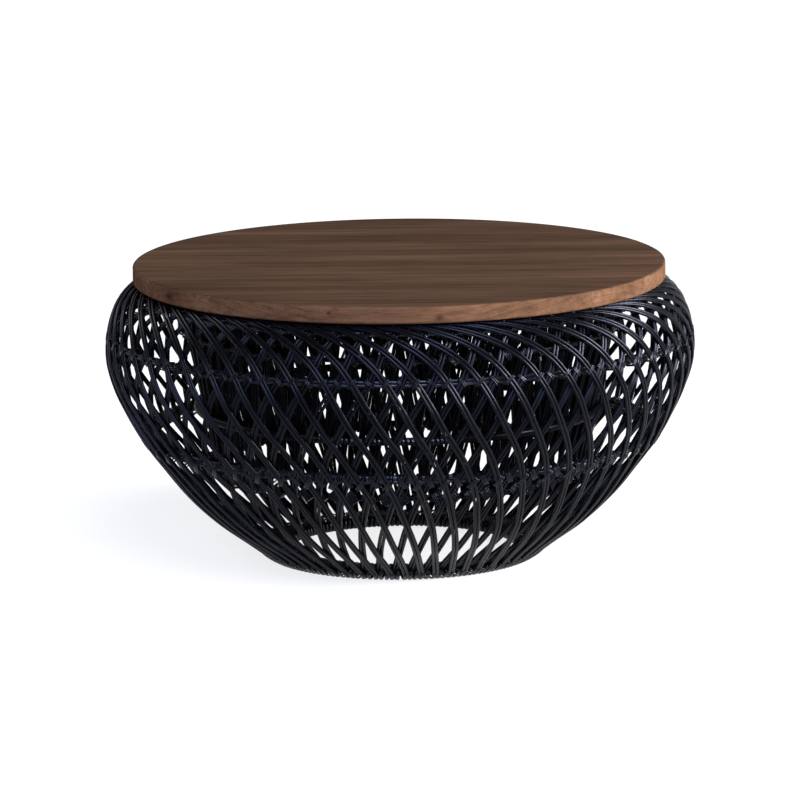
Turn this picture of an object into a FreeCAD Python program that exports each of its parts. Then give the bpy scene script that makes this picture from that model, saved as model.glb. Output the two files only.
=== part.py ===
"""A round wicker coffee table: a double-walled basket of black canes with a wooden top that lifts off.

Millimetres, +Z up. The origin is on the floor, under the middle of the table, and the front is -Y.
"""
import FreeCAD, Part
import math
import os
from FreeCAD import Vector

# The wooden top
TOP_RADIUS = 361.0
TOP_THICKNESS = 23.0
TOP_EASING = 3.0             # radius of the eased rims
BOARD_COUNT = 7
BOARD_JOINT = 0.1            # width of a glue line
BATTEN_X = 130.0             # distance of each batten from the middle
BATTEN_WIDTH = 40.0
BATTEN_LENGTH = 460.0
BATTEN_THICKNESS = 18.0
BATTEN_EASING = 3.0
DOWEL_RADIUS = 4.0
DOWEL_LENGTH = 40.0
DOWEL_PLAY = 2.0             # how much longer than its dowel each dowel hole is
DOWEL_X = (-200.0, 0.0, 200.0)
SCREW_RADIUS = 2.0
SCREW_HEAD_RADIUS = 4.0
SCREW_HEAD_HEIGHT = 2.6
SCREW_LENGTH = 34.0
HOLE_CLEARANCE = 0.05

# The canes and hoops of the basket
CANE_RADIUS = 2.25
PAIR_SPACING = 4.7           # between the centre lines of the two canes of a pair
OUTER_PAIR_COUNT = 60        # pairs round the outer wall, leaning each way
DRUM_PAIR_COUNT = 72         # pairs round the drum, leaning each way
LAYER_GAP = 0.6              # between one layer of canes or hoops and the next
HOOP_RADIUS = 4.0
THIN_HOOP_RADIUS = 3.5
LASHING_GAP = 0.2
LASHING_PLAY = 0.4           # between a lashing's ends and what it ties
LASHING_THICKNESS = 0.9
LASHING_WIDTH = 2.0
LASHING_CORNER = 2.0

# The outer wall, from the floor over the shoulder and in under the top. Each station gives the radius
# and height of the wall's outer face, and how far round the table the left-leaning and the
# right-leaning canes have swirled there, in degrees.
WALL = (
    (186.0, 2.5, 20.0, -21.8),
    (214.5, 24.0, 18.1, -20.2),
    (258.5, 56.5, 15.7, -18.3),
    (300.5, 97.0, 13.3, -16.2),
    (328.0, 132.0, 11.3, -14.1),
    (351.0, 163.0, 9.2, -11.8),
    (374.0, 203.0, 6.1, -8.7),
    (391.5, 243.0, 2.4, -5.4),
    (400.0, 278.0, -0.4, -2.7),
    (398.6, 308.0, -3.0, 0.0),
    (392.5, 334.0, -6.1, 1.7),
    (384.0, 353.0, -9.8, 2.9),
    (373.0, 366.5, -14.1, 4.2),
    (359.5, 375.5, -19.3, 5.8),
    (345.0, 378.6, -25.0, 8.0),
    (331.0, 376.9, -29.5, 10.4),
    (319.0, 370.4, -33.5, 13.0),
    (312.0, 361.0, -36.5, 15.4),
)
LOWER_HOOP_STATION = 5
BELLY_HOOP_STATION = 9
CREST_HOOP_STATION = 14
BELLY_SLANTS = (45.0, 45.0)  # angle of the lashings to the hoop, over the left and the right canes
CREST_SLANTS = (60.0, 25.0)
LOWER_SLANTS = (60.0, 60.0)
OUTER_NODES = 6              # nodes that each family of outer canes is shared between

# The ring that the table stands on, bound with strip
BASE_RING_RADIUS = 162.0
BASE_BINDING_RADIUS = 9.0
BINDING_THICKNESS = 1.2
BASE_FLAT = 0.5              # how far the binding is pressed flat where it stands

# The inner drum: straight canes on a slight cone
DRUM_TOP = 366.0
DRUM_BOTTOM = 118.0
DRUM_HOOP_GAUGE = (306.0, 358.0)    # radius and height of the drum's top hoop
DRUM_SLOPE = 0.21            # gain in radius per millimetre of height
DRUM_LAYER_GAP = 1.5         # between the drum's two layers of canes, which its lashings pass through
DRUM_TWIST = 10.0            # degrees that a drum cane swirls, from bottom to top
DRUM_UPPER_HOOP_Z = 320.0
DRUM_MIDDLE_HOOP_Z = 208.0
DRUM_LOWER_HOOP_Z = 128.0
DRUM_BINDING_RADIUS = 6.5
DRUM_LASHING_SLANT = 45.0
DRUM_LASHING_LENGTH = 14.0   # inside, long enough to pass round a pair of canes
DRUM_NODES = 4               # nodes that each family of drum canes is shared between

CANE_DIAMETER = 2 * CANE_RADIUS
UP = Vector(0, 0, 1)
LEFT = 2                     # columns of WALL that hold the two families' swirl
RIGHT = 3

# The top rests on the lashings at the crest of the wall
SETTING_GAP = 0.3
TOP_UNDERSIDE = WALL[CREST_HOOP_STATION][1] + LASHING_GAP + LASHING_THICKNESS + SETTING_GAP

# Depths below the wall's outer face
LEFT_DEPTH = CANE_RADIUS
RIGHT_DEPTH = LEFT_DEPTH + CANE_DIAMETER + LAYER_GAP
HOOP_FACE_DEPTH = RIGHT_DEPTH + CANE_RADIUS + LAYER_GAP


def write(node, solids):
    """Write one node's solids to its STEP file."""
    shape = solids[0] if len(solids) == 1 else Part.makeCompound(solids)
    shape.exportStep(os.path.join("parts", node + ".step"))


def round_the_table(shape, count, places):
    """Copies of shape at these places, out of this count evenly round the table's axis."""
    copies = []
    for place in places:
        copy = shape.copy()
        copy.rotate(Vector(0, 0, 0), UP, place * 360.0 / count)
        copies.append(copy)
    return copies


def on_table(radius, height, degrees):
    """The point at this radius, height and bearing. Bearing 0 is the front, and it grows towards +X."""
    bearing = math.radians(degrees)
    return Vector(radius * math.sin(bearing), -radius * math.cos(bearing), height)


# The canes

def wall_normal(station):
    """The wall's outward direction (radial, up) at a station, long enough to keep layers parallel."""
    last = len(WALL) - 1
    steps = []
    for start in (max(station - 1, 0), min(station, last - 1)):
        run = WALL[start + 1][0] - WALL[start][0]
        rise = WALL[start + 1][1] - WALL[start][1]
        length = math.hypot(run, rise)
        steps.append((rise / length, -run / length))
    radial = steps[0][0] + steps[1][0]
    up = steps[0][1] + steps[1][1]
    size = math.hypot(radial, up)
    return radial * 2 / size ** 2, up * 2 / size ** 2


def at_depth(station, depth):
    """Radius and height of the point at this depth below the wall's outer face."""
    radial, up = wall_normal(station)
    return WALL[station][0] - radial * depth, WALL[station][1] - up * depth


def cane(points):
    """A round cane along a chain of points, mitred at each."""
    first_step = (points[1] - points[0]).normalize()
    section = Part.Wire([Part.makeCircle(CANE_RADIUS, points[0], first_step)])
    mitred = 1
    return Part.makePolygon(points).makePipeShell([section], True, False, mitred)


def pair_of_canes(centres, outwards):
    """Two canes side by side along a line of centres, on a face with these outward directions."""
    last = len(centres) - 1
    sides = []
    for i, centre in enumerate(centres):
        along = centres[min(i + 1, last)] - centres[max(i - 1, 0)]
        sides.append(along.cross(outwards[i]).normalize() * (PAIR_SPACING / 2))
    return [cane([centre + side * sign for centre, side in zip(centres, sides)]) for sign in (-1, 1)]


def outer_pair(family, depth):
    """One pair of outer canes, from the base ring to inside the crest hoop."""
    centres = []
    outwards = []
    for station, row in enumerate(WALL):
        radius, height = at_depth(station, depth)
        radial, up = wall_normal(station)
        centres.append(on_table(radius, height, row[family]))
        outwards.append(on_table(radial, up, row[family]))
    return pair_of_canes(centres, outwards)


def drum_radius(height):
    """Radius of the centre lines of the drum's outer layer of canes at this height."""
    hoop_radius, hoop_height = DRUM_HOOP_GAUGE
    at_hoop = hoop_radius - HOOP_RADIUS - LAYER_GAP - CANE_RADIUS
    return at_hoop - (hoop_height - height) * DRUM_SLOPE


def drum_pair_ends(twist, depth):
    """The lower and upper end of the line between a pair of drum canes."""
    return [on_table(drum_radius(height) - depth, height, swirl)
            for height, swirl in ((DRUM_BOTTOM, -twist / 2), (DRUM_TOP, twist / 2))]


def drum_pair(twist, depth):
    """One pair of straight drum canes, this deep inside the drum's outer layer."""
    outwards = [on_table(1, 0, swirl) for swirl in (-twist / 2, twist / 2)]
    return pair_of_canes(drum_pair_ends(twist, depth), outwards)


def write_ring_of_canes(name, pair, pair_count, node_count):
    """Repeat a pair of canes round the table, shared between numbered nodes."""
    per_node = pair_count // node_count
    for node in range(node_count):
        places = range(node * per_node, (node + 1) * per_node)
        solids = []
        for one in pair:
            solids += round_the_table(one, pair_count, places)
        write(f"{name}_{node + 1}", solids)


# The hoops, rings and lashings

def hoop(radius, height, thickness_radius):
    """A round hoop, level."""
    return Part.makeTorus(radius, thickness_radius, Vector(0, 0, height), UP)


def wall_hoop(station, thickness_radius, shift=0.0):
    """A hoop behind both layers of outer canes, moved up the wall's slope by shift."""
    radius, height = at_depth(station, HOOP_FACE_DEPTH + thickness_radius)
    radial, up = wall_normal(station)
    size = math.hypot(radial, up)
    return hoop(radius - up / size * shift, height + radial / size * shift, thickness_radius)


def write_double_hoop(name, station, rod_radius):
    """A hoop of two rods, one above the other, each in its own node."""
    half_step = rod_radius + LASHING_GAP / 2
    write(f"{name}_upper_rod", [wall_hoop(station, rod_radius, half_step)])
    write(f"{name}_lower_rod", [wall_hoop(station, rod_radius, -half_step)])


def rounded_box(half_length, half_depth, width, corner):
    """A block centred on the origin: half_length in X, half_depth in Y, its Z edges rounded."""
    start = Vector(-half_length, -half_depth, -width / 2)
    block = Part.makeBox(2 * half_length, 2 * half_depth, width, start)
    upright = [edge for edge in block.Edges if abs(edge.tangentAt(edge.FirstParameter).z) > 0.9]
    return block.makeFillet(corner, upright)


def lashing(centre, outward, direction, half_length, half_depth):
    """A loop of binding strip in the plane of direction and outward, round what lies inside it."""
    outer = rounded_box(half_length + LASHING_THICKNESS, half_depth + LASHING_THICKNESS,
                        LASHING_WIDTH, LASHING_CORNER + LASHING_THICKNESS)
    inner = rounded_box(half_length, half_depth, 2 * LASHING_WIDTH, LASHING_CORNER)
    loop = outer.cut(inner)
    across = direction.cross(outward)
    turn = FreeCAD.Matrix(direction.x, outward.x, across.x, centre.x,
                          direction.y, outward.y, across.y, centre.y,
                          direction.z, outward.z, across.z, centre.z,
                          0, 0, 0, 1)
    loop.Placement = FreeCAD.Placement(turn)
    return loop.Solids[0]


def lashing_reach(half_height, slant):
    """Half the inside length of a loop that crosses hoops of this half height at this angle to them."""
    angle = math.radians(slant)
    return half_height / math.sin(angle) + LASHING_WIDTH / 2 / math.tan(angle) + LASHING_PLAY


def wall_lashing(station, family, hoop_radius, rods, slant):
    """The loop that ties one pair of outer canes to the hoop of one or two rods behind them."""
    face = 0.0 if family == LEFT else RIGHT_DEPTH - CANE_RADIUS
    near = face - LASHING_GAP
    far = HOOP_FACE_DEPTH + 2 * hoop_radius + LASHING_GAP
    bearing = WALL[station][family]
    radius, height = at_depth(station, (near + far) / 2)
    outward = on_table(*wall_normal(station), bearing).normalize()
    along_hoop = on_table(1, 0, bearing + 90)
    up_wall = outward.cross(along_hoop).normalize()
    angle = math.radians(slant)
    lean = 1 if family == LEFT else -1
    direction = up_wall * math.sin(angle) + along_hoop * (lean * math.cos(angle))
    reach = lashing_reach(rods * hoop_radius + (rods - 1) * LASHING_GAP, slant)
    return lashing(on_table(radius, height, bearing), outward, direction, reach, (far - near) / 2)


def write_wall_lashings(name, station, hoop_radius, rods, slants):
    """Every lashing of one outer hoop. The two slants are for the left and the right family."""
    solids = []
    for family, slant in zip((LEFT, RIGHT), slants):
        one = wall_lashing(station, family, hoop_radius, rods, slant)
        solids += round_the_table(one, OUTER_PAIR_COUNT, range(OUTER_PAIR_COUNT))
    write(name, solids)


def drum_hoop(height, thickness_radius):
    """A hoop round the outside of the drum."""
    radius = drum_radius(height) + CANE_RADIUS + LAYER_GAP + thickness_radius
    return hoop(radius, height, thickness_radius)


def write_drum_lashings(name, height, thickness_radius):
    """The lashings that tie the drum's outer canes to one of its hoops, square to the drum's face."""
    slope = math.atan(DRUM_SLOPE)
    hoop_depth = CANE_RADIUS + LAYER_GAP + thickness_radius
    low, high = drum_pair_ends(DRUM_TWIST, 0.0)
    crossing_height = height + hoop_depth * math.sin(slope)
    crossing = low + (high - low) * ((crossing_height - DRUM_BOTTOM) / (DRUM_TOP - DRUM_BOTTOM))
    bearing = math.degrees(math.atan2(crossing.x, -crossing.y))
    outward = on_table(math.cos(slope), -math.sin(slope), bearing)
    up_drum = on_table(math.sin(slope), math.cos(slope), bearing)
    near = CANE_RADIUS + LASHING_GAP
    sag = drum_radius(crossing_height) - math.hypot(crossing.x, crossing.y)
    far = sag + hoop_depth + thickness_radius + LASHING_GAP
    angle = math.radians(DRUM_LASHING_SLANT)
    direction = up_drum * math.sin(angle) - on_table(1, 0, bearing + 90) * math.cos(angle)
    reach = max(lashing_reach(thickness_radius, DRUM_LASHING_SLANT), DRUM_LASHING_LENGTH / 2)
    centre = crossing + outward * ((far - near) / 2)
    one = lashing(centre, outward, direction, reach, (far + near) / 2)
    write(name, round_the_table(one, DRUM_PAIR_COUNT, range(DRUM_PAIR_COUNT)))


def bound_ring(radius, height, binding_radius):
    """A ring and the binding round it, as two solids."""
    core_radius = binding_radius - BINDING_THICKNESS
    binding = hoop(radius, height, binding_radius).cut(hoop(radius, height, core_radius))
    core = hoop(radius, height, core_radius - LASHING_GAP)
    return core, binding


def write_basket():
    """The double-walled base: outer wall, hoops, base ring and inner drum."""
    for name, family, depth in (("left", LEFT, LEFT_DEPTH), ("right", RIGHT, RIGHT_DEPTH)):
        pair = outer_pair(family, depth)
        write_ring_of_canes(f"outer_{name}_canes", pair, OUTER_PAIR_COUNT, OUTER_NODES)
    write_double_hoop("belly_hoop", BELLY_HOOP_STATION, CANE_RADIUS)
    write("crest_hoop", [wall_hoop(CREST_HOOP_STATION, HOOP_RADIUS)])
    write_double_hoop("lower_hoop", LOWER_HOOP_STATION, THIN_HOOP_RADIUS)
    write_wall_lashings("belly_lashings", BELLY_HOOP_STATION, CANE_RADIUS, 2, BELLY_SLANTS)
    write_wall_lashings("crest_lashings", CREST_HOOP_STATION, HOOP_RADIUS, 1, CREST_SLANTS)
    write_wall_lashings("lower_lashings", LOWER_HOOP_STATION, THIN_HOOP_RADIUS, 2, LOWER_SLANTS)

    ring_height = BASE_BINDING_RADIUS - BASE_FLAT
    core, binding = bound_ring(BASE_RING_RADIUS, ring_height, BASE_BINDING_RADIUS)
    reach = 2 * BASE_RING_RADIUS
    below_floor = Part.makeBox(2 * reach, 2 * reach, reach, Vector(-reach, -reach, -reach))
    write("base_ring", [core])
    write("base_ring_binding", [binding.cut(below_floor)])


def write_drum():
    """The inner drum that hangs inside the basket's mouth."""
    inner_depth = CANE_DIAMETER + DRUM_LAYER_GAP
    for name, twist, depth in (("left", -DRUM_TWIST, inner_depth), ("right", DRUM_TWIST, 0.0)):
        write_ring_of_canes(f"drum_{name}_canes", drum_pair(twist, depth), DRUM_PAIR_COUNT, DRUM_NODES)
    write("drum_top_hoop", [drum_hoop(DRUM_HOOP_GAUGE[1], HOOP_RADIUS)])
    write("drum_upper_hoop", [drum_hoop(DRUM_UPPER_HOOP_Z, THIN_HOOP_RADIUS)])
    write("drum_lower_hoop", [drum_hoop(DRUM_LOWER_HOOP_Z, HOOP_RADIUS)])
    middle_radius = drum_radius(DRUM_MIDDLE_HOOP_Z) + CANE_RADIUS + LAYER_GAP + DRUM_BINDING_RADIUS
    core, binding = bound_ring(middle_radius, DRUM_MIDDLE_HOOP_Z, DRUM_BINDING_RADIUS)
    write("drum_middle_hoop", [core])
    write("drum_middle_binding", [binding])
    write_drum_lashings("drum_upper_lashings", DRUM_UPPER_HOOP_Z, THIN_HOOP_RADIUS)
    write_drum_lashings("drum_lower_lashings", DRUM_LOWER_HOOP_Z, HOOP_RADIUS)


# The wooden top

def board_edges():
    """The Y of each board's two edges, from the front of the table to the back."""
    width = 2 * TOP_RADIUS / BOARD_COUNT
    return [(-TOP_RADIUS + i * width, -TOP_RADIUS + (i + 1) * width) for i in range(BOARD_COUNT)]


def dowels(radius, length):
    """The dowels across the glue lines, or with a larger size the holes for them."""
    height = TOP_UNDERSIDE + TOP_THICKNESS / 2
    glue_lines = [edges[1] for edges in board_edges()[:-1]]
    return [Part.makeCylinder(radius, length, Vector(x, y - length / 2, height), Vector(0, 1, 0))
            for y in glue_lines for x in DOWEL_X]


def screws(clearance):
    """The screws up through the battens, or with a clearance the holes for them."""
    foot = TOP_UNDERSIDE - BATTEN_THICKNESS
    covered = [(low + high) / 2 for low, high in board_edges() if abs(low + high) < BATTEN_LENGTH]
    solids = []
    for x in (-BATTEN_X, BATTEN_X):
        for y in covered:
            head = Part.makeCone(SCREW_HEAD_RADIUS + clearance, SCREW_RADIUS + clearance,
                                 SCREW_HEAD_HEIGHT, Vector(x, y, foot), UP)
            shank = Part.makeCylinder(SCREW_RADIUS + clearance, SCREW_LENGTH + clearance,
                                      Vector(x, y, foot), UP)
            solids.append(head.fuse(shank).removeSplitter())
    return solids


def write_top():
    """The boards, their dowels, the battens under them and the battens' screws."""
    disc = Part.makeCylinder(TOP_RADIUS, TOP_THICKNESS, Vector(0, 0, TOP_UNDERSIDE), UP)
    rims = [edge for edge in disc.Edges if edge.Curve.TypeId == "Part::GeomCircle"]
    disc = disc.makeFillet(TOP_EASING, rims)
    holes = dowels(DOWEL_RADIUS + HOLE_CLEARANCE, DOWEL_LENGTH + DOWEL_PLAY) + screws(HOLE_CLEARANCE)
    for number, (low, high) in enumerate(board_edges()):
        slab = Part.makeBox(2 * TOP_RADIUS, high - low - BOARD_JOINT, TOP_THICKNESS,
                            Vector(-TOP_RADIUS, low + BOARD_JOINT / 2, TOP_UNDERSIDE))
        write(f"top_board_{number + 1}", [disc.common(slab).cut(holes).Solids[0]])
    write("board_dowels", dowels(DOWEL_RADIUS, DOWEL_LENGTH))
    for name, x in (("left_batten", -BATTEN_X), ("right_batten", BATTEN_X)):
        batten = rounded_box(BATTEN_LENGTH / 2, BATTEN_THICKNESS / 2, BATTEN_WIDTH, BATTEN_EASING)
        batten.rotate(Vector(0, 0, 0), Vector(1, 0, 0), 90)
        batten.rotate(Vector(0, 0, 0), UP, 90)
        batten.translate(Vector(x, 0, TOP_UNDERSIDE - BATTEN_THICKNESS / 2))
        write(name, [batten.cut(holes).Solids[0]])
    write("batten_screws", screws(0.0))


os.makedirs("parts", exist_ok=True)
write_basket()
write_drum()
write_top()
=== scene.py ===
"""Looks of the wicker coffee table: canes, hoops and bindings as smooth swept meshes, and its materials.

Metres, +Z up. The origin is on the floor, under the middle of the table, and the front is -Y.
"""
import math
import bpy
import numpy as np
from mathutils import Matrix, Vector


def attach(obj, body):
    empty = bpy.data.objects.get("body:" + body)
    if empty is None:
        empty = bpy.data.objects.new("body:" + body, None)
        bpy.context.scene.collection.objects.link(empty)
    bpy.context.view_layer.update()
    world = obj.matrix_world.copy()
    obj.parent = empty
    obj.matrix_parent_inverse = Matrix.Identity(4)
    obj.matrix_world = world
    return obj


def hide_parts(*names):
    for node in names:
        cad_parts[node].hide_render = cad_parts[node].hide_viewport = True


MM = 0.001
BASKET = "basket"

# Canes
CANE_RADIUS = 2.25 * MM
PAIR_SPACING = 4.7 * MM
OUTER_PAIR_COUNT = 60
DRUM_PAIR_COUNT = 72
LAYER_GAP = 0.1 * MM         # less than the CAD's, so that the layers all but touch
DRUM_CANE_SCALE = 1.08       # the drum's canes are a little thicker
FOOT_SWELL = 0.16            # how much thicker the outer canes are at the foot
FOOT_LENGTH = 190 * MM       # how far up the wall that goes
CANE_SIDES = 8
SAMPLE_STEP = 7.0 * MM
SWIRL_WANDER = 0.22          # degrees that a pair strays from its even place
DEPTH_WANDER = 0.35 * MM
SPACING_WANDER = 0.25 * MM
DRUM_CANE_STRAY = 0.25       # degrees that each end of a drum pair strays
DRUM_CANE_BOW = 0.7 * MM

# The outer wall's stations: radius, height, and the swirl of the left and right canes in degrees
WALL = np.array((
    (186.0, 2.5, 20.0, -21.8),
    (214.5, 24.0, 18.1, -20.2),
    (258.5, 56.5, 15.7, -18.3),
    (300.5, 97.0, 13.3, -16.2),
    (328.0, 132.0, 11.3, -14.1),
    (351.0, 163.0, 9.2, -11.8),
    (374.0, 203.0, 6.1, -8.7),
    (391.5, 243.0, 2.4, -5.4),
    (400.0, 278.0, -0.4, -2.7),
    (398.6, 308.0, -3.0, 0.0),
    (392.5, 334.0, -6.1, 1.7),
    (384.0, 353.0, -9.8, 2.9),
    (373.0, 366.5, -14.1, 4.2),
    (359.5, 375.5, -19.3, 5.8),
    (345.0, 378.6, -25.0, 8.0),
    (331.0, 376.9, -29.5, 10.4),
    (319.0, 370.4, -33.5, 13.0),
    (312.0, 361.0, -36.5, 15.4),
)) * (MM, MM, 1, 1)
LOWER_HOOP_STATION = 5
BELLY_HOOP_STATION = 9
CREST_HOOP_STATION = 14
LEFT = 2                     # columns of WALL that hold the two families' swirl
RIGHT = 3
DEPTHS = {LEFT: CANE_RADIUS, RIGHT: 3 * CANE_RADIUS + LAYER_GAP}
HOOP_FACE_DEPTH = 4 * CANE_RADIUS + 2 * LAYER_GAP
OUTER_NODES = 6

# The drum
DRUM_TOP = 366.0 * MM
DRUM_BOTTOM = 120.0 * MM
DRUM_HOOP_RADIUS = 306.0 * MM  # the CAD's; here the hoops touch the canes, 0.75 mm further in
DRUM_HOOP_HEIGHT = 358.0 * MM
DRUM_FACE_DEPTH = 7.0 * MM   # from that radius in to the centres of the drum's outer canes
DRUM_SLOPE = 0.21
DRUM_TWIST = 10.0
DRUM_NODES = 4
DRUM_UPPER_HOOP_HEIGHT = 320.0 * MM
DRUM_MIDDLE_HOOP_HEIGHT = 208.0 * MM
DRUM_LOWER_HOOP_HEIGHT = 128.0 * MM

# Hoops, rings, strip and the things they tie
THIN_HOOP_RADIUS = 3.5 * MM
THICK_HOOP_RADIUS = 4.0 * MM
MIDDLE_CORE_RADIUS = 5.4 * MM
MIDDLE_CORE_GAP = 0.8 * MM   # from the drum's canes to the core, for the binding to pass through
BASE_CORE_RADIUS = 7.6 * MM
BASE_RING_RADIUS = 162.0 * MM
BASE_RING_HEIGHT = 9.0 * MM
BINDING_THICKNESS = 0.9 * MM
MIDDLE_BINDING_WIDTH = 5.6 * MM
BASE_BINDING_WIDTH = 5.0 * MM
LASHING_WIDTH = 2.3 * MM
DRUM_LASHING_WIDTH = 2.6 * MM
DRUM_LASHING_SLANT = 50
LASHING_THICKNESS = 0.6 * MM
LASHING_CORNER = 2.2 * MM
LASHING_OVERHANG = 1.0 * MM
TURN_GAP = 0.15 * MM         # between the turns of a lashing
TURN_STRAY = 0.15 * MM       # how far each turn strays from its even place
HOOP_SWAY = 0.4 * MM
HOOP_SAMPLES = 240

# The base binding in section, round the ring and the lower ends of the canes: radius and height
BASE_SECTION = np.array(((152.5, 1.0), (183.0, 0.9), (188.5, 4.0), (201.0, 13.5), (197.0, 17.5),
                         (160.0, 18.3), (152.5, 15.0))) * MM

# The boards: where each one's log had its middle, and the knots in its rim (x, z and size)
PITHS = ((0.10, 0.16), (0.30, 0.12), (-0.12, 0.20), (0.02, 0.13), (-0.25, 0.10), (0.16, 0.22), (-0.05, 0.17))
BOARD_KNOTS = {1: ((0.052, 0.388, 0.007), (-0.092, 0.394, 0.004)), 2: ((-0.305, 0.391, 0.006),)}
WOOD_SHADES = ((0.0262, 0.0150, 0.0096), (0.0360, 0.0207, 0.0133), (0.0486, 0.0284, 0.0185))
# Painted light: how many times lighter the boards' sideways-facing rims are painted than their tops, standing
# in for the side light they catch
RIM_PAINTED_LIGHT = (1.80, 1.60, 1.42)
PALE = 5.5                   # how many times lighter the battens and dowels are than the boards

# The studio
FLOOR_HALF = 30.0
FLOOR_GLOW = 0.78
WORLD_COLOUR = (0.93, 0.96, 1.0, 1)
WORLD_STRENGTH = 0.28
KEY_SIZE = 1.3
KEY_POWER = 480.0
KEY_PLACE = (3.2, 76, 18)    # distance, bearing and elevation
SUN_DISTANCE = 4.0
LAMP_TARGET = Vector((0, 0, 0.25))
SUNS = (                     # name, bearing, elevation, softness, strength and colour
    ("softbox", 12, 48, 0.50, 4.0, (1.0, 1.0, 1.0)),
    ("fill", -10, 24, 0.35, 3.4, (0.46, 0.58, 1.0)),
    ("back", 235, 32, 0.60, 1.0, (1.0, 1.0, 1.0)),
)
CAMERA_SPOT = Vector((0, -8.0, 1.7555))
CAMERA_AIM = Vector((-0.0008, 0, 0.2107))
CAMERA_ROLL = math.radians(-0.68)
CAMERA_LENS = 269.25         # mm, like the sensor's width
CAMERA_SENSOR = 36.0


# Small tools

def unit(vectors):
    """Each row scaled to length 1."""
    return vectors / np.linalg.norm(vectors, axis=-1, keepdims=True)


def polar(radius, height, degrees):
    """Points at these radii, heights and bearings. Bearing 0 is the front, and it grows towards +X."""
    bearing = np.radians(degrees)
    return np.stack(np.broadcast_arrays(radius * np.sin(bearing), -radius * np.cos(bearing), height), -1)


def wander(rng, places, wavelength, size):
    """A smooth random drift along places, about this long in wave and this large."""
    drift = np.zeros_like(places)
    for octave in (1.0, 2.3):
        phase = rng.uniform(0, 2 * math.pi)
        drift += np.sin(places / wavelength * octave * 2 * math.pi + phase) / octave
    return drift * size * rng.uniform(0.5, 1.0)


# The outer wall as one smooth line in section

STEPS = np.diff(WALL[:, :2], axis=0)
WALL_LENGTHS = np.concatenate(([0.0], np.cumsum(np.hypot(STEPS[:, 0], STEPS[:, 1]))))
SLOPES = np.gradient(WALL, WALL_LENGTHS, axis=0)


def wall_at(lengths):
    """Rows of WALL between its stations, at these lengths along the section, and their slopes."""
    i = np.clip(np.searchsorted(WALL_LENGTHS, lengths, side="right") - 1, 0, len(WALL_LENGTHS) - 2)
    span = (WALL_LENGTHS[i + 1] - WALL_LENGTHS[i])[:, None]
    t = (lengths - WALL_LENGTHS[i])[:, None] / span
    a, b = WALL[i], WALL[i + 1]
    ta, tb = SLOPES[i] * span, SLOPES[i + 1] * span
    rows = a + t * ta + t ** 2 * (3 * (b - a) - 2 * ta - tb) + t ** 3 * (2 * (a - b) + ta + tb)
    slopes = ta + 2 * t * (3 * (b - a) - 2 * ta - tb) + 3 * t ** 2 * (2 * (a - b) + ta + tb)
    return rows, slopes / span


def wall_normals(slopes):
    """Radial and upward parts of the wall's outward direction."""
    return unit(np.stack((slopes[:, 1], -slopes[:, 0]), -1))


# Sweeping and meshes

class Shape:
    """Vertices, faces and UVs that become one mesh."""

    def __init__(self):
        self.points = []
        self.faces = []
        self.uvs = []
        self.count = 0

    def sweep(self, path, normals, profile, scale=None, closed=False, uv_start=(0.0, 0.0)):
        """Add a profile swept along a path. The profile's columns lie along the normal and across it."""
        if closed:
            tangents = unit(np.roll(path, -1, 0) - np.roll(path, 1, 0))
        else:
            tangents = unit(np.gradient(path, axis=0))
        normals = unit(normals - np.sum(normals * tangents, -1, keepdims=True) * tangents)
        across = np.cross(tangents, normals)
        if scale is None:
            scale = np.ones(len(path))
        size = scale[:, None, None]
        rings = path[:, None] + size * (profile[None, :, :1] * normals[:, None]
                                        + profile[None, :, 1:] * across[:, None])
        rows, sides = rings.shape[:2]
        index = np.arange(rows * sides).reshape(rows, sides) + self.count
        far = np.roll(index, -1, 0) if closed else index[1:]
        near = index if closed else index[:-1]
        quads = np.stack((near, np.roll(near, -1, 1), np.roll(far, -1, 1), far), -1).reshape(-1, 4)
        steps = np.linalg.norm(np.diff(path, axis=0, append=path[:1]), axis=-1)
        along = np.concatenate(([0.0], np.cumsum(steps)))[:rows + 1] + uv_start[1]
        v0, u0 = np.meshgrid(along[:len(near)], np.arange(sides), indexing="ij")
        v1 = np.meshgrid(along[1:len(near) + 1], np.arange(sides), indexing="ij")[0]
        corners = ((u0, v0), (u0 + 1, v0), (u0 + 1, v1), (u0, v1))
        uv = np.stack([np.stack((u / sides + uv_start[0], v), -1) for u, v in corners], 2).reshape(-1, 2)
        self.points.append(rings.reshape(-1, 3))
        self.faces += quads.tolist()
        self.uvs.append(uv)
        if not closed:
            for cap in (index[0][::-1], index[-1]):
                self.faces.append(cap.tolist())
                self.uvs.append(np.tile(uv_start, (sides, 1)))
        self.count += rows * sides

    def piece(self, name, material, slot, *nodes):
        """Make the piece, which stands for these CAD nodes and rides on the basket."""
        mesh = bpy.data.meshes.new(name)
        mesh.from_pydata(np.concatenate(self.points).tolist(), [], self.faces)
        layer = mesh.uv_layers.new(name="along")
        layer.data.foreach_set("uv", np.concatenate(self.uvs).ravel())
        mesh.polygons.foreach_set("use_smooth", [True] * len(mesh.polygons))
        mesh.materials.append(material)
        mesh.validate()
        obj = bpy.data.objects.new(name, mesh)
        bpy.context.scene.collection.objects.link(obj)
        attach(obj, BASKET)
        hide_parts(*nodes)


def round_profile(radius, sides):
    """A circle in section."""
    turn = np.linspace(0, 2 * math.pi, sides, endpoint=False)
    return np.stack((np.cos(turn), np.sin(turn)), -1) * radius


def strip_profile(width, thickness):
    """Split cane in section: flat inside, crowned outside."""
    return np.array(((0, -0.5 * width), (0.7 * thickness, -0.36 * width), (thickness, 0),
                     (0.7 * thickness, 0.36 * width), (0, 0.5 * width)))


# Materials

def new_material(name):
    """A node material, with its nodes, links and Principled shader."""
    material = bpy.data.materials.new(name)
    material.use_nodes = True
    nodes = material.node_tree.nodes
    return material, nodes, material.node_tree.links, nodes["Principled BSDF"]


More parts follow.
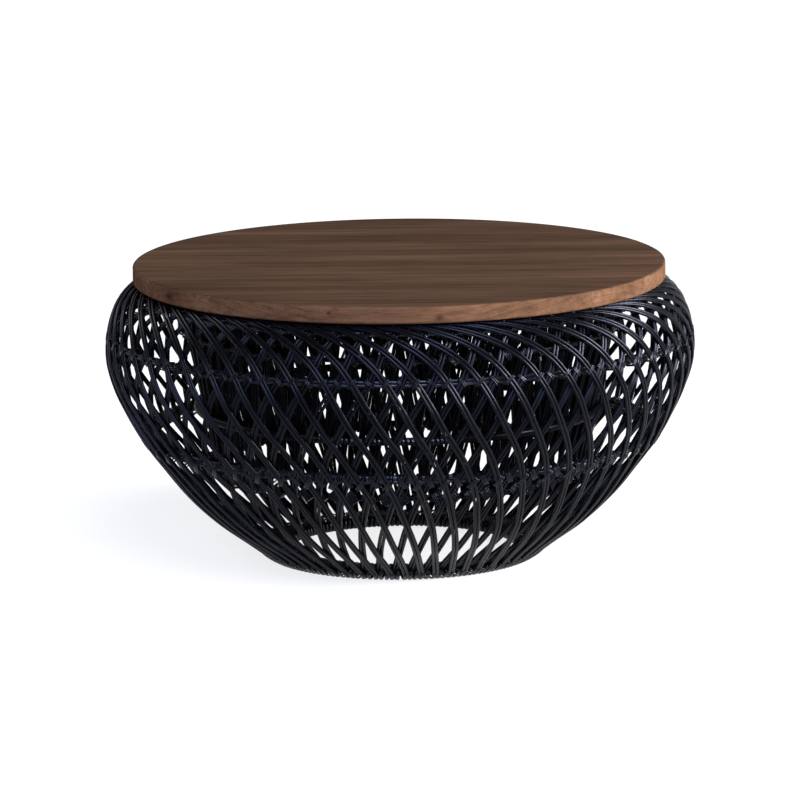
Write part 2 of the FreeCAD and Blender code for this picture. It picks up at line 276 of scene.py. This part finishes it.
def noise(nodes, links, vector, scale, detail=2.0, roughness=0.5):
    """A noise texture on this vector."""
    node = nodes.new("ShaderNodeTexNoise")
    node.inputs["Scale"].default_value = scale
    node.inputs["Detail"].default_value = detail
    node.inputs["Roughness"].default_value = roughness
    links.new(vector, node.inputs["Vector"])
    return node.outputs["Fac"]


def mapped(nodes, links, vector, scale, location=(0, 0, 0), rotation=(0, 0, 0)):
    """The vector, moved, turned and scaled."""
    node = nodes.new("ShaderNodeMapping")
    node.inputs["Scale"].default_value = scale
    node.inputs["Location"].default_value = location
    node.inputs["Rotation"].default_value = rotation
    links.new(vector, node.inputs["Vector"])
    return node.outputs["Vector"]


def ramp(nodes, links, value, *stops):
    """A colour ramp with these (position, colour) stops."""
    node = nodes.new("ShaderNodeValToRGB")
    elements = node.color_ramp.elements
    while len(elements) < len(stops):
        elements.new(0.5)
    for element, (position, colour) in zip(elements, stops):
        element.position = position
        element.color = (*colour, 1)
    links.new(value, node.inputs["Fac"])
    return node.outputs["Color"]


def grey(value):
    """A grey colour."""
    return (value, value, value)


def spread(nodes, links, value, low, high):
    """The value's range 0.3 to 0.7 spread over low to high."""
    node = nodes.new("ShaderNodeMapRange")
    node.inputs["From Min"].default_value = 0.3
    node.inputs["From Max"].default_value = 0.7
    node.inputs["To Min"].default_value = low
    node.inputs["To Max"].default_value = high
    links.new(value, node.inputs["Value"])
    return node.outputs["Result"]


def multiply(nodes, links, factor, first, second):
    """The first colour multiplied by the second, by this much."""
    node = nodes.new("ShaderNodeMix")
    node.data_type = "RGBA"
    node.blend_type = "MULTIPLY"
    node.inputs["Factor"].default_value = factor
    links.new(first, node.inputs["A"])
    links.new(second, node.inputs["B"])
    return node.outputs["Result"]


def bump(nodes, links, height, distance, strength, under=None):
    """A bump from this height, over another normal if given."""
    node = nodes.new("ShaderNodeBump")
    node.inputs["Distance"].default_value = distance
    node.inputs["Strength"].default_value = strength
    links.new(height, node.inputs["Height"])
    if under is not None:
        links.new(under, node.inputs["Normal"])
    return node.outputs["Normal"]


def lacquered_cane(name, tint, shine, grooves):
    """Black lacquer over round or split cane: streaks along it, worn patches and the cane's faint rings."""
    material, nodes, links, shader = new_material(name)
    uv = nodes.new("ShaderNodeUVMap")
    uv.uv_map = "along"
    along = uv.outputs["UV"]
    place = nodes.new("ShaderNodeTexCoord").outputs["Object"]
    streaks = noise(nodes, links, mapped(nodes, links, along, (grooves, 9, 1)), 1.0, 3.0)
    patches = noise(nodes, links, place, 38.0, 3.0, 0.6)
    dark = tuple(0.45 * c for c in tint)
    colour = ramp(nodes, links, streaks, (0.3, dark), (0.55, tint), (0.75, tuple(1.9 * c for c in tint)))
    worn = ramp(nodes, links, patches, (0.35, grey(0.6)), (0.62, grey(1.0)), (0.8, (1.9, 1.75, 1.6)))
    links.new(multiply(nodes, links, 1.0, colour, worn), shader.inputs["Base Color"])
    links.new(spread(nodes, links, patches, 0.22, 0.40), shader.inputs["Roughness"])
    rings = noise(nodes, links, mapped(nodes, links, along, (0.0, 7, 1)), 1.0, 1.0)
    ring_edges = ramp(nodes, links, rings, (0.60, grey(0)), (0.615, grey(1)), (0.63, grey(0)))
    grooved = bump(nodes, links, streaks, 0.35 * MM, 0.8)
    links.new(bump(nodes, links, ring_edges, 0.3 * MM, 0.7, grooved), shader.inputs["Normal"])
    shader.inputs["Specular IOR Level"].default_value = shine
    shader.inputs["Specular Tint"].default_value = (0.66, 0.72, 1.0, 1)
    return material


def plank_wood(name, seed, shades, pith, rim=(1.0, 1.0, 1.0), knots=()):
    """Solid wood with the log's rings in it: straight grain along X, pores and knots, with painted light: the
    rim, where the surface faces sideways, is multiplied by the rim colour so it is lighter than the top.
    """
    material, nodes, links, shader = new_material(name)
    rng = np.random.default_rng(seed)
    shift = (float(rng.uniform(-3, 3)), pith[0], pith[1])
    tilt = (0.0, float(rng.uniform(-0.02, 0.02)), float(rng.uniform(-0.012, 0.012)))
    coordinates = nodes.new("ShaderNodeTexCoord")
    place = coordinates.outputs["Object"]
    log = mapped(nodes, links, place, (1, 1, 1), shift, tilt)
    patches = noise(nodes, links, mapped(nodes, links, log, (2.2, 14, 14)), 1.0, 3.0)
    rings = nodes.new("ShaderNodeTexWave")
    rings.wave_type = "RINGS"
    rings.rings_direction = "X"
    rings.wave_profile = "SAW"
    rings.inputs["Scale"].default_value = 38.0
    rings.inputs["Distortion"].default_value = 9.0
    rings.inputs["Detail"].default_value = 3.0
    rings.inputs["Detail Scale"].default_value = 0.2
    links.new(mapped(nodes, links, log, (0.15, 1, 1)), rings.inputs["Vector"])
    streaks = noise(nodes, links, mapped(nodes, links, log, (4.2, 125, 125)), 1.0, 6.0, 0.72)
    pores = noise(nodes, links, mapped(nodes, links, log, (26, 700, 700)), 1.0, 2.0, 0.5)
    base = ramp(nodes, links, patches, (0.3, shades[0]), (0.5, shades[1]), (0.72, shades[2]))
    ringed = ramp(nodes, links, rings.outputs["Fac"], (0.0, grey(1.10)), (0.7, grey(0.96)), (1.0, grey(0.72)))
    streaked = ramp(nodes, links, streaks, (0.30, grey(0.60)), (0.5, grey(1.0)), (0.68, (1.38, 1.35, 1.32)))
    pored = ramp(nodes, links, pores, (0.33, grey(0.50)), (0.42, grey(1.0)))
    colour = multiply(nodes, links, 0.75, base, ringed)
    colour = multiply(nodes, links, 0.85, colour, streaked)
    colour = multiply(nodes, links, 0.6, colour, pored)
    for x, z, size in knots:
        disc = mapped(nodes, links, place, (0.7 / size, 0, 1 / size), (-0.7 * x / size, 0, -z / size))
        length = nodes.new("ShaderNodeVectorMath")
        length.operation = "LENGTH"
        links.new(disc, length.inputs[0])
        spot = ramp(nodes, links, length.outputs["Value"], (0.0, grey(0.30)), (0.45, grey(0.55)),
                    (0.6, grey(0.8)), (1.0, grey(1.0)))
        colour = multiply(nodes, links, 0.9, colour, spot)
    # Painted light: faces that turn sideways, the rim, are multiplied by the rim colour so they are lighter
    # than the top
    upright = nodes.new("ShaderNodeSeparateXYZ")
    links.new(coordinates.outputs["Normal"], upright.inputs["Vector"])
    painted_rim_light = ramp(nodes, links, upright.outputs["Z"], (0.35, rim), (0.9, grey(1.0)))
    links.new(multiply(nodes, links, 1.0, colour, painted_rim_light), shader.inputs["Base Color"])
    links.new(spread(nodes, links, streaks, 0.60, 0.80), shader.inputs["Roughness"])
    links.new(bump(nodes, links, streaks, 0.30 * MM, 0.5), shader.inputs["Normal"])
    shader.inputs["Specular IOR Level"].default_value = 0.0
    return material


def brushed_metal(name):
    """Dull zinc."""
    material, nodes, links, shader = new_material(name)
    place = nodes.new("ShaderNodeTexCoord").outputs["Object"]
    scratches = noise(nodes, links, mapped(nodes, links, place, (900, 4000, 900)), 1.0, 3.0)
    links.new(ramp(nodes, links, scratches, (0.3, (0.42, 0.41, 0.37)), (0.7, (0.66, 0.65, 0.60))),
              shader.inputs["Base Color"])
    links.new(spread(nodes, links, scratches, 0.3, 0.5), shader.inputs["Roughness"])
    shader.inputs["Metallic"].default_value = 1.0
    return material


# The canes of the outer wall

def outer_track(family, place, lengths):
    """Centres, outward directions and cane spacing of one pair, at these lengths up the wall."""
    rng = np.random.default_rng(100 * family + place)
    rows, slopes = wall_at(lengths)
    normals = wall_normals(slopes)
    depth = DEPTHS[family] + wander(rng, lengths, 0.21, DEPTH_WANDER)
    swirl = rows[:, family] + place * 360.0 / OUTER_PAIR_COUNT + wander(rng, lengths, 0.34, SWIRL_WANDER)
    centres = polar(rows[:, 0] - normals[:, 0] * depth, rows[:, 1] - normals[:, 1] * depth, swirl)
    outwards = polar(normals[:, 0], normals[:, 1], swirl)
    spacing = PAIR_SPACING + wander(rng, lengths, 0.17, SPACING_WANDER)
    return centres, outwards, spacing


def outer_canes(family, places, material, name):
    """One node's worth of outer canes."""
    shape = Shape()
    lengths = np.linspace(0.0, WALL_LENGTHS[-1], int(WALL_LENGTHS[-1] / SAMPLE_STEP) + 1)
    profile = round_profile(CANE_RADIUS, CANE_SIDES)
    for place in places:
        centres, outwards, spacing = outer_track(family, place, lengths)
        sides = unit(np.cross(np.gradient(centres, axis=0), outwards))
        for side in (-0.5, 0.5):
            rng = np.random.default_rng(5000 + 1000 * family + 10 * place + int(side > 0))
            swell = FOOT_SWELL * np.clip(1.0 - lengths / FOOT_LENGTH, 0.0, 1.0)
            scale = rng.uniform(0.97, 1.05) + wander(rng, lengths, 0.12, 0.015) + swell
            path = centres + sides * (spacing * side)[:, None]
            shape.sweep(path, outwards, profile, scale, uv_start=tuple(rng.uniform(0, 20, 2)))
    shape.piece(name, material, "black_cane", name)


# The drum's canes

def drum_radius(height):
    """Radius of the middle of the drum's outer canes."""
    return DRUM_HOOP_RADIUS - DRUM_FACE_DEPTH - (DRUM_HOOP_HEIGHT - height) * DRUM_SLOPE


def drum_canes(twist, depth, places, material, name, seed):
    """One node's worth of drum canes, which are nearly straight."""
    shape = Shape()
    profile = round_profile(CANE_RADIUS, CANE_SIDES)
    fractions = np.linspace(0, 1, 9)
    for place in places:
        rng = np.random.default_rng(seed + place)
        bearing = place * 360.0 / DRUM_PAIR_COUNT
        start, end = bearing - twist / 2, bearing + twist / 2
        low = polar(drum_radius(DRUM_BOTTOM) - depth, DRUM_BOTTOM, start + rng.normal(0, DRUM_CANE_STRAY))
        high = polar(drum_radius(DRUM_TOP) - depth, DRUM_TOP, end + rng.normal(0, DRUM_CANE_STRAY))
        outward = unit(polar(1.0, 0.0, bearing))
        side = unit(np.cross(high - low, outward))
        for sign in (-0.5, 0.5):
            spacing = PAIR_SPACING * sign
            bow = wander(rng, fractions, 1.1, DRUM_CANE_BOW)
            path = low + (high - low) * fractions[:, None] + side * (spacing + bow)[:, None]
            outwards = np.tile(outward, (len(path), 1))
            shape.sweep(path, outwards, profile * DRUM_CANE_SCALE, uv_start=tuple(rng.uniform(0, 20, 2)))
    shape.piece(name, material, "black_cane", name)


# Hoops, bindings and lashings

def ring_path(radius, height, seed):
    """A level ring that sways slightly, and its outward directions."""
    rng = np.random.default_rng(seed)
    bearings = np.linspace(0, 360, HOOP_SAMPLES, endpoint=False)
    radii = np.full(HOOP_SAMPLES, radius)
    heights = np.full(HOOP_SAMPLES, height)
    for waves in (3, 5, 8, 13):
        for values in (radii, heights):
            values += HOOP_SWAY / waves * 2 * np.sin(np.radians(bearings) * waves + rng.uniform(0, 7))
    return polar(radii, heights, bearings), polar(1.0, 0.0, bearings)


def hoop(name, radius, height, thickness_radius, material, seed):
    """A round hoop."""
    shape = Shape()
    path, outwards = ring_path(radius, height, seed)
    shape.sweep(path, outwards, round_profile(thickness_radius, 12), closed=True)
    shape.piece(name, material, "black_cane", name)


def double_hoop(name, station, rod_radius, material, seed):
    """A hoop of two rods, one above the other, behind the outer canes."""
    radius, height, normal = wall_point(station, HOOP_FACE_DEPTH + rod_radius)
    for which, shift in (("upper", rod_radius), ("lower", -rod_radius)):
        hoop(f"{name}_{which}_rod", radius - normal[1] * shift, height + normal[0] * shift,
             rod_radius, material, seed)


def wall_point(station, depth):
    """Radius, height and normal of the wall's section at a station, this deep inside its face."""
    rows, slopes = wall_at(WALL_LENGTHS[station:station + 1])
    normal = wall_normals(slopes)[0]
    return rows[0, 0] - normal[0] * depth, rows[0, 1] - normal[1] * depth, normal


def wound_strip(name, section, degrees_per_turn, width, material, seed):
    """Strip wound round a ring. The section is a closed line of (radius, height) points."""
    rng = np.random.default_rng(seed)
    turns = round(360.0 / degrees_per_turn)
    count = len(section)
    whole = np.tile(section, (turns, 1))
    bearings = np.arange(turns * count) / count * (360.0 / turns)
    jitter = np.repeat(rng.normal(0, 0.10, turns) * 360.0 / turns, count)
    jitter = np.convolve(np.concatenate((jitter[-count:], jitter, jitter[:count])),
                         np.ones(count) / count, "same")[count:-count]
    around = unit(np.roll(section, -1, 0) - np.roll(section, 1, 0))
    normals = np.tile(np.stack((around[:, 1], -around[:, 0]), -1), (turns, 1))
    path = polar(whole[:, 0], whole[:, 1], bearings + jitter)
    outwards = polar(normals[:, 0], normals[:, 1], bearings + jitter)
    shape = Shape()
    shape.sweep(path, outwards, strip_profile(width, BINDING_THICKNESS), closed=True)
    shape.piece(name, material, "black_binding", name)


def smooth_section(corners, count):
    """A closed line through these (radius, height) corners, smoothed, as count even points."""
    line = np.array(corners, float)
    for _ in range(3):
        ahead = np.roll(line, -1, 0)
        line = np.stack((0.75 * line + 0.25 * ahead, 0.25 * line + 0.75 * ahead), 1).reshape(-1, 2)
    closed = np.vstack((line, line[:1]))
    lengths = np.concatenate(([0.0], np.cumsum(np.linalg.norm(np.diff(closed, axis=0), axis=1))))
    at = np.linspace(0, lengths[-1], count, endpoint=False)
    return np.stack([np.interp(at, lengths, closed[:, k]) for k in (0, 1)], -1)


def loop_round(shape, centre, outward, direction, half_length, half_depth, turns, width, rng):
    """A lashing of some turns of strip, side by side, in the plane of direction and outward."""
    long, deep = half_length - LASHING_CORNER, half_depth - LASHING_CORNER
    angles = np.radians(np.arange(0, 360, 30) + 15)
    flat = np.stack((np.sign(np.cos(angles)) * long + LASHING_CORNER * np.cos(angles),
                     np.sign(np.sin(angles)) * deep + LASHING_CORNER * np.sin(angles)), -1)
    facing = np.stack((np.cos(angles), np.sin(angles)), -1)
    across = np.cross(direction, outward)
    for turn in range(turns):
        shift = (turn - (turns - 1) / 2) * (width + TURN_GAP) + rng.normal(0, TURN_STRAY)
        tilt = rng.normal(0, 0.06)
        leaning = unit(direction + across * tilt)
        path = centre + across * shift + flat[:, :1] * leaning + flat[:, 1:] * outward
        normals = facing[:, :1] * leaning + facing[:, 1:] * outward
        shape.sweep(path, normals, strip_profile(width, LASHING_THICKNESS), closed=True,
                    uv_start=tuple(rng.uniform(0, 20, 2)))


def wall_lashings(name, station, hoop_radius, rods, slants, turns, material):
    """The lashings where both families of pairs cross one hoop."""
    shape = Shape()
    at = WALL_LENGTHS[station:station + 1]
    for family, slant in zip((LEFT, RIGHT), slants):
        for place in range(OUTER_PAIR_COUNT):
            rng = np.random.default_rng(9000 + 777 * station + 100 * family + place)
            centres, outwards, _ = outer_track(family, place, at)
            outward = outwards[0]
            along = unit(np.cross((0, 0, 1.0), outward))
            up = np.cross(outward, along)
            angle = math.radians(slant) + rng.normal(0, 0.05)
            lean = 1 if family == LEFT else -1
            direction = up * math.sin(angle) + along * (lean * math.cos(angle))
            near = CANE_RADIUS
            far = HOOP_FACE_DEPTH + 2 * hoop_radius - DEPTHS[family]
            half_length = rods * hoop_radius / math.sin(angle) + LASHING_OVERHANG
            centre = centres[0] - outward * ((far - near) / 2)
            loop_round(shape, centre, outward, direction, half_length, (far + near) / 2,
                       turns, LASHING_WIDTH, rng)
    shape.piece(name, material, "black_binding", name)


def drum_lashings(name, height, hoop_radius, turns, half_length, material):
    """The lashings where the drum's outer pairs cross one hoop."""
    shape = Shape()
    share = (height - DRUM_BOTTOM) / (DRUM_TOP - DRUM_BOTTOM)
    half_depth = CANE_RADIUS + hoop_radius + LASHING_THICKNESS
    for place in range(DRUM_PAIR_COUNT):
        rng = np.random.default_rng(300 + place + int(height * 1e4))
        bearing = place * 360.0 / DRUM_PAIR_COUNT + DRUM_TWIST * (share - 0.5)
        outward = polar(1.0, 0.0, bearing)
        along = polar(1.0, 0.0, bearing + 90)
        angle = math.radians(DRUM_LASHING_SLANT) + rng.normal(0, 0.08)
        direction = unit(np.array((0, 0, 1.0)) * math.sin(angle) - along * math.cos(angle))
        centre = polar(drum_radius(height) + hoop_radius, height, bearing)
        loop_round(shape, centre, outward, direction, half_length, half_depth,
                   turns, DRUM_LASHING_WIDTH, rng)
    shape.piece(name, material, "black_binding", name)


def build_basket():
    """Every visible piece of the basket."""
    cane_a = lacquered_cane("outer_cane_lacquer", (0.0010, 0.0010, 0.0018), 0.10, 6)
    cane_b = lacquered_cane("inner_cane_lacquer", (0.0006, 0.0006, 0.0010), 0.04, 6)
    hoop_black = lacquered_cane("hoop_lacquer", (0.0045, 0.0045, 0.0060), 0.32, 5)
    binding = lacquered_cane("binding_lacquer", (0.0015, 0.0015, 0.0023), 0.16, 4)
    per_node = OUTER_PAIR_COUNT // OUTER_NODES
    for node in range(OUTER_NODES):
        places = range(node * per_node, (node + 1) * per_node)
        outer_canes(LEFT, places, cane_a, f"outer_left_canes_{node + 1}")
        outer_canes(RIGHT, places, cane_a, f"outer_right_canes_{node + 1}")
    per_node = DRUM_PAIR_COUNT // DRUM_NODES
    for node in range(DRUM_NODES):
        places = range(node * per_node, (node + 1) * per_node)
        drum_canes(-DRUM_TWIST, 2 * CANE_RADIUS + LAYER_GAP, places, cane_b,
                   f"drum_left_canes_{node + 1}", 40)
        drum_canes(DRUM_TWIST, 0.0, places, cane_b, f"drum_right_canes_{node + 1}", 140)

    thin, thick = THIN_HOOP_RADIUS, THICK_HOOP_RADIUS
    double_hoop("belly_hoop", BELLY_HOOP_STATION, CANE_RADIUS, hoop_black, 1)
    double_hoop("lower_hoop", LOWER_HOOP_STATION, thin, hoop_black, 3)
    radius, height, _ = wall_point(CREST_HOOP_STATION, HOOP_FACE_DEPTH + thick)
    hoop("crest_hoop", radius, height, thick, hoop_black, 2)
    wall_lashings("belly_lashings", BELLY_HOOP_STATION, CANE_RADIUS, 2, (45, 45), 2, binding)
    wall_lashings("crest_lashings", CREST_HOOP_STATION, thick, 1, (60, 25), 2, binding)
    wall_lashings("lower_lashings", LOWER_HOOP_STATION, thin, 2, (60, 60), 3, binding)

    for name, z, size in (("top", DRUM_HOOP_HEIGHT, thick), ("upper", DRUM_UPPER_HOOP_HEIGHT, thin),
                          ("lower", DRUM_LOWER_HOOP_HEIGHT, thick)):
        hoop(f"drum_{name}_hoop", drum_radius(z) + CANE_RADIUS + size, z, size, cane_b, int(z * 1000))
    drum_lashings("drum_upper_lashings", DRUM_UPPER_HOOP_HEIGHT, thin, 3, 7.0 * MM, binding)
    drum_lashings("drum_lower_lashings", DRUM_LOWER_HOOP_HEIGHT, thick, 5, 8.5 * MM, binding)

    core, z = MIDDLE_CORE_RADIUS, DRUM_MIDDLE_HOOP_HEIGHT
    middle = drum_radius(z) + CANE_RADIUS + core + MIDDLE_CORE_GAP
    hoop("drum_middle_hoop", middle, z, core, cane_b, 21)
    turn = np.linspace(0, 2 * math.pi, 12, endpoint=False)
    section = np.stack((middle - core * np.cos(turn), z - core * np.sin(turn)), -1)[::-1]
    wound_strip("drum_middle_binding", section, 1.3, MIDDLE_BINDING_WIDTH, binding, 22)

    hoop("base_ring", BASE_RING_RADIUS, BASE_RING_HEIGHT, BASE_CORE_RADIUS, cane_b, 23)
    wound_strip("base_ring_binding", smooth_section(BASE_SECTION, 18), 2.4, BASE_BINDING_WIDTH, binding, 24)


def finish_top():
    """Wood on the boards, dowels and battens, and zinc on the screws."""
    for number, pith in enumerate(PITHS, start=1):
        tone = float(np.random.default_rng(number).uniform(0.93, 1.07))
        shades = [tuple(c * tone for c in shade) for shade in WOOD_SHADES]
        wood = plank_wood(f"board_wood_{number}", number, shades, pith, RIM_PAINTED_LIGHT,
                          BOARD_KNOTS.get(number, ()))
        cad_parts[f"top_board_{number}"].data.materials[0] = wood
    pale = [tuple(c * PALE for c in shade) for shade in WOOD_SHADES]
    batten_wood = plank_wood("batten_wood", 20, pale, (0.1, 0.2))
    dowel_wood = plank_wood("dowel_wood", 21, pale, (0.3, 0.1))
    for name, material in (("left_batten", batten_wood), ("right_batten", batten_wood),
                           ("board_dowels", dowel_wood), ("batten_screws", brushed_metal("zinc"))):
        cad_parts[name].data.materials[0] = material


# The studio

def place_lamp(name, light, distance, bearing, elevation):
    """A lamp at this bearing and elevation, which shines on the middle of the table."""
    lamp = bpy.data.objects.new(name, light)
    rise = math.radians(elevation)
    offset = Vector(polar(distance * math.cos(rise), distance * math.sin(rise), bearing))
    lamp.location = LAMP_TARGET + offset
    lamp.rotation_euler = offset.to_track_quat("Z", "Y").to_euler()
    bpy.context.scene.collection.objects.link(lamp)


def studio():
    """A pale floor that glows like a light table, soft lamps and the camera."""
    material, nodes, links, shader = new_material("floor_paper")
    place = nodes.new("ShaderNodeTexCoord").outputs["Object"]
    mottled = noise(nodes, links, place, 2.0, 3.0)
    links.new(ramp(nodes, links, mottled, (0.3, grey(0.155)), (0.7, grey(0.165))),
              shader.inputs["Base Color"])
    shader.inputs["Emission Color"].default_value = (1.0, 1.0, 1.0, 1)
    shader.inputs["Emission Strength"].default_value = FLOOR_GLOW
    shader.inputs["Roughness"].default_value = 0.9
    shader.inputs["Specular IOR Level"].default_value = 0.1
    corners = [(x * FLOOR_HALF, y * FLOOR_HALF, 0) for x, y in ((-1, -1), (1, -1), (1, 1), (-1, 1))]
    mesh = bpy.data.meshes.new("floor")
    mesh.from_pydata(corners, [], [(0, 1, 2, 3)])
    mesh.materials.append(material)
    floor = bpy.data.objects.new("floor", mesh)
    bpy.context.scene.collection.objects.link(floor)

    world = bpy.data.worlds.new("studio")
    bpy.context.scene.world = world
    world.use_nodes = True
    background = world.node_tree.nodes["Background"]
    background.inputs["Color"].default_value = WORLD_COLOUR
    background.inputs["Strength"].default_value = WORLD_STRENGTH

    key = bpy.data.lights.new("key", "AREA")
    key.size = KEY_SIZE
    key.energy = KEY_POWER
    place_lamp("key", key, *KEY_PLACE)
    for name, bearing, elevation, softness, strength, colour in SUNS:
        light = bpy.data.lights.new(name, "SUN")
        light.energy = strength
        light.angle = softness
        light.color = colour
        place_lamp(name, light, SUN_DISTANCE, bearing, elevation)

    lens = bpy.data.cameras.new("camera")
    lens.lens = CAMERA_LENS
    lens.sensor_width = CAMERA_SENSOR
    camera = bpy.data.objects.new("camera", lens)
    gaze = (CAMERA_AIM - CAMERA_SPOT).to_track_quat("-Z", "Y")
    camera.matrix_world = (Matrix.Translation(CAMERA_SPOT) @ gaze.to_matrix().to_4x4()
                           @ Matrix.Rotation(CAMERA_ROLL, 4, "Z"))
    bpy.context.scene.collection.objects.link(camera)
    bpy.context.scene.camera = camera
    bpy.context.scene.view_settings.view_transform = "Standard"
    bpy.context.scene.view_settings.exposure = 0.0


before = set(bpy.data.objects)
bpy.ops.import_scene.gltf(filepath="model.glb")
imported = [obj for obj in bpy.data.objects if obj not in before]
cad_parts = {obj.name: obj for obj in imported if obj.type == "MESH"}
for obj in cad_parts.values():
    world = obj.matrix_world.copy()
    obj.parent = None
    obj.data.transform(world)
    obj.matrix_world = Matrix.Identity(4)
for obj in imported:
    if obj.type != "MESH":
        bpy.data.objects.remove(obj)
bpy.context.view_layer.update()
build_basket()
finish_top()
studio()
